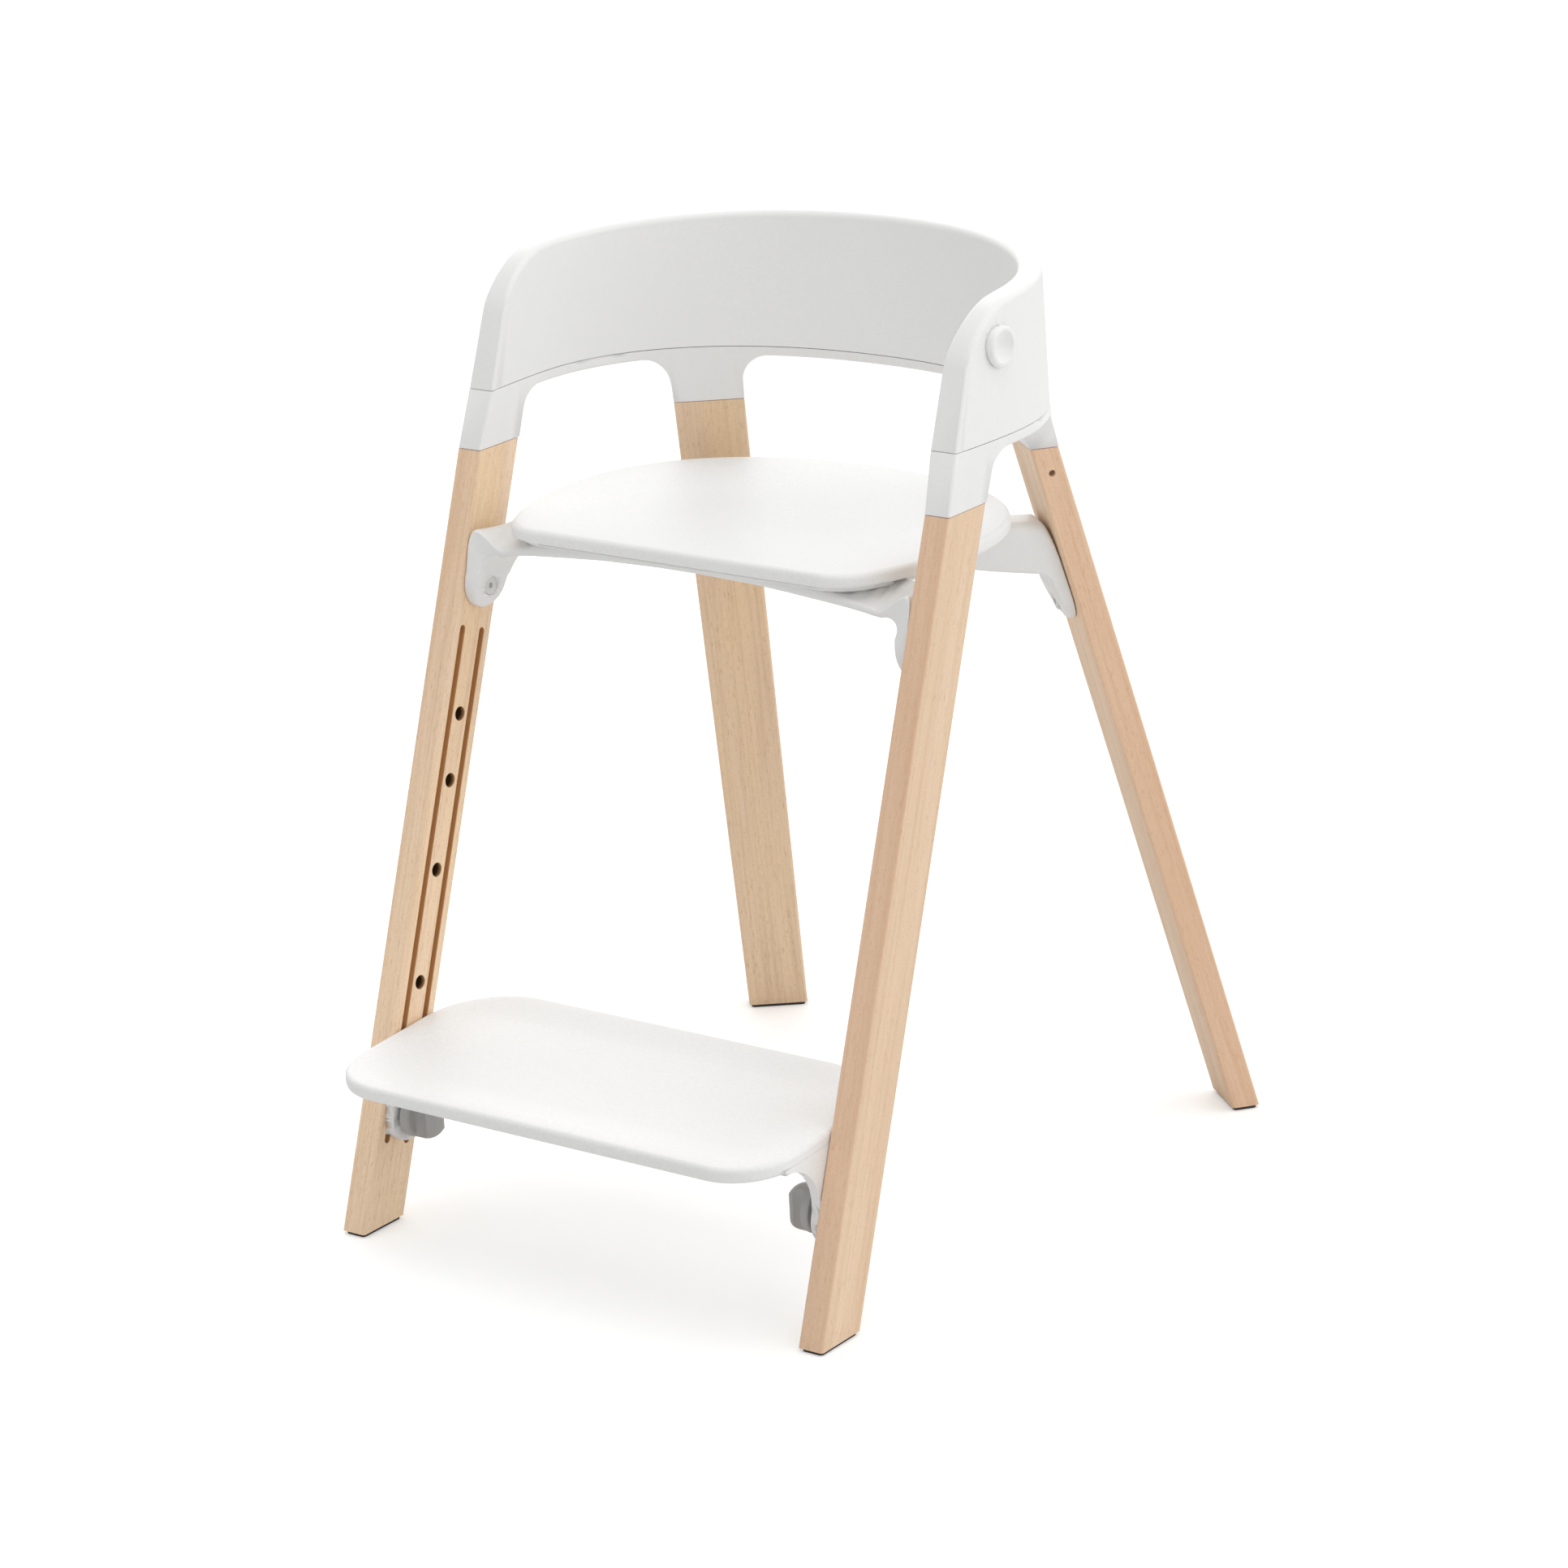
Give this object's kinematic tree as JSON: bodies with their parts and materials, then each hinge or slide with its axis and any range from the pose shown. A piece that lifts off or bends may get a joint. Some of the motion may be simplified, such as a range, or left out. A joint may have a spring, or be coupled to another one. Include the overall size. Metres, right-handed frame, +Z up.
{
  "type": "high chair",
  "caption": "Child's high chair with slanted wooden legs, a curved low backrest on a moulded ring, a slim seat, and a footrest that slides up the front legs and clamps with knobs.",
  "frame": {"origin": "centre of the footprint on the floor", "axes": "+X to the chair's side that is on the right seen from the front, the front faces -Y, +Z up"},
  "size_m": [0.4472, 0.5558, 0.6405],
  "materials": {
    "wood": "light beech, matt clear lacquer, grain along each leg",
    "shell": "satin white",
    "seat": "satin white",
    "footrest": "satin white",
    "frame": "satin white, glass-filled",
    "knob": "satin mid grey",
    "steel": "plain steel",
    "glide": "matt dark grey"
  },
  "bodies": {
    "chair": {"front_left_leg": "wood", "front_right_leg": "wood", "back_left_leg": "wood", "back_right_leg": "wood", "front_left_glide": "glide", "front_right_glide": "glide", "back_left_glide": "glide", "back_right_glide": "glide", "leg_ring": "shell", "backrest": "shell", "left_disc": "shell", "right_disc": "shell", "ring_screws": "steel", "lock_pins": "steel", "seat_frame": "frame", "frame_bolts": "steel", "frame_inserts": "steel", "seat": "seat", "seat_screws": "steel"},
    "footrest": {"footrest": "footrest", "thread_bushes": "steel"},
    "left_screw": {"left_screw": "steel"},
    "right_screw": {"right_screw": "steel"},
    "left_knob": {"left_knob": "knob"},
    "right_knob": {"right_knob": "knob"}
  },
  "joints": [
    {"name": "footrest_height", "type": "slide", "parent": "chair", "child": "footrest", "axis": [0, 0.3322, 0.9432], "range_m": [0, 0.2724]},
    {"name": "left_screw_travel", "type": "slide", "parent": "footrest", "child": "left_screw", "axis": [-1, 0, 0], "range_m": [0, 0.0035]},
    {"name": "left_knob_turn", "type": "hinge", "parent": "left_screw", "child": "left_knob", "pos_m": [-0.16, -0.19781, 0.07796], "axis": [-1, 0, 0], "range_deg": [0, 720]},
    {"name": "right_screw_travel", "type": "slide", "parent": "footrest", "child": "right_screw", "axis": [1, 0, 0], "range_m": [0, 0.0035]},
    {"name": "right_knob_turn", "type": "hinge", "parent": "right_screw", "child": "right_knob", "pos_m": [0.16, -0.19781, 0.07796], "axis": [1, 0, 0], "range_deg": [0, 720]}
  ],
  "couplings": [
    {"joint": "left_screw_travel", "follows": "left_knob_turn", "m_per_rad": 0.00027852},
    {"joint": "right_screw_travel", "follows": "right_knob_turn", "m_per_rad": 0.00027852}
  ]
}
